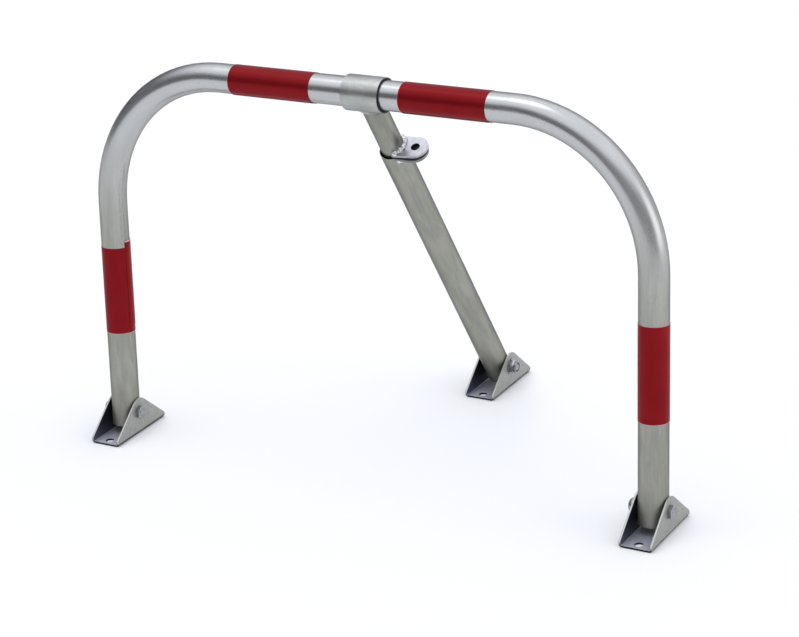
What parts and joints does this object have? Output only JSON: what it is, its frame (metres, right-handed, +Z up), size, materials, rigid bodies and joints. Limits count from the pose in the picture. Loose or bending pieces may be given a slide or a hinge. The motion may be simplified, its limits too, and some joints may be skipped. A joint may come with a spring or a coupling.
{
  "type": "parking space lock",
  "caption": "Folding hoop barrier that blocks a parking space: a bent steel tube on two foot brackets, held up by a padlocked stay on a third",
  "frame": {"origin": "on the ground, halfway between the hoop's two pivots, at the centre of the four front anchor holes", "axes": "+X along the width of the hoop, +Y back towards the stay's foot, +Z up"},
  "size_m": [0.6704, 0.335, 0.4168],
  "materials": {
    "galvanised_tube": "matte galvanised",
    "reflective_tape": "semi-gloss film",
    "bracket_zinc": "matte zinc",
    "fastener_zinc": "bright zinc plate",
    "lock_nut_nylon": "dull nylon",
    "lug_zinc": "zinc plate",
    "weld_metal": "galvanised weld"
  },
  "bodies": {
    "base": {"left_foot_bracket": "bracket_zinc", "left_pivot_bolt": "fastener_zinc", "left_pivot_nut": "fastener_zinc", "right_foot_bracket": "bracket_zinc", "right_pivot_bolt": "fastener_zinc", "right_pivot_nut": "fastener_zinc", "rear_foot_bracket": "bracket_zinc", "rear_pivot_bolt": "fastener_zinc", "rear_pivot_nut": "fastener_zinc", "rear_pivot_washer": "fastener_zinc", "rear_nut_insert": "lock_nut_nylon"},
    "hoop": {"hoop_tube": "galvanised_tube", "left_leg_tape": "reflective_tape", "right_leg_tape": "reflective_tape", "left_top_tape": "reflective_tape", "right_top_tape": "reflective_tape"},
    "sleeve": {"top_sleeve": "galvanised_tube", "stay_stub": "galvanised_tube", "sleeve_weld": "weld_metal", "upper_lug": "lug_zinc", "upper_lug_weld": "weld_metal"},
    "stay": {"stay_tube": "galvanised_tube", "lower_lug": "lug_zinc", "lower_lug_weld": "weld_metal"}
  },
  "joints": [
    {"name": "hoop_fold", "type": "hinge", "parent": "base", "child": "hoop", "pos_m": [0, 0, 0.024], "axis": [1, 0, 0], "range_deg": [0, 95]},
    {"name": "sleeve_swivel", "type": "hinge", "parent": "hoop", "child": "sleeve", "pos_m": [0, 0.03548, 0.39933], "axis": [1, 0, 0], "range_deg": [-29.46, 0]},
    {"name": "stay_fold", "type": "hinge", "parent": "base", "child": "stay", "pos_m": [0.006, 0.25, 0.024], "axis": [1, 0, 0], "range_deg": [0, 61.28]}
  ],
  "couplings": [
    {"joint": "stay_fold", "follows": "hoop_fold", "ratio": 0.645},
    {"joint": "sleeve_swivel", "follows": "hoop_fold", "ratio": -0.31}
  ]
}
